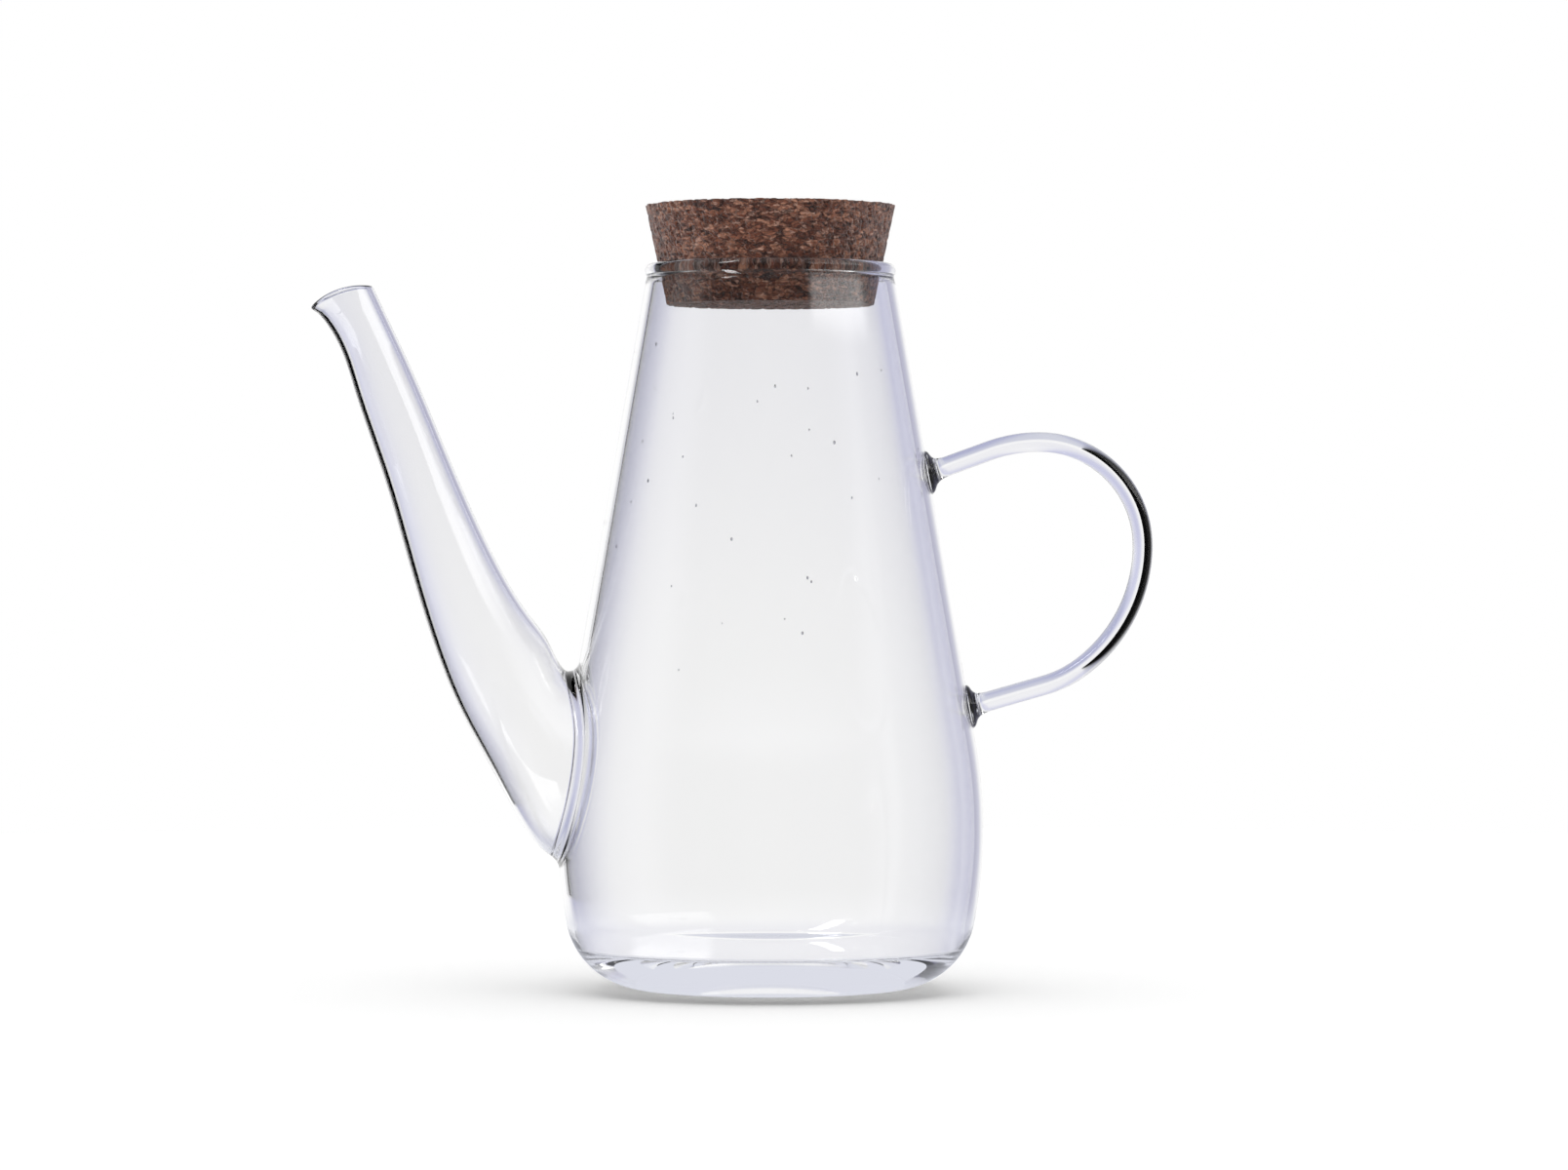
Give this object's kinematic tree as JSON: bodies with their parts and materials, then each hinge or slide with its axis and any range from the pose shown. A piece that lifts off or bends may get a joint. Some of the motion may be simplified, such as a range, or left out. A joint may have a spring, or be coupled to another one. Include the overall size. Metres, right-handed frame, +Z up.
{
  "type": "olive oil cruet",
  "caption": "Clear glass oil cruet: flared body on a flat base, curved horn spout, rod loop handle and a tapered cork stopper in the neck.",
  "frame": {"origin": "centre of the base on the body's axis, at the level of the surface it stands on", "axes": "+Z up along the body's axis, spout towards -X, handle towards +X, +Y across"},
  "size_m": [0.1785, 0.0904, 0.166],
  "materials": {
    "glass": "clear, flame polished",
    "cork": "matte, pressed cork granules"
  },
  "bodies": {
    "root": {"glass_body": "glass", "glass_spout": "glass", "glass_handle": "glass", "cork_stopper": "cork"}
  },
  "joints": []
}
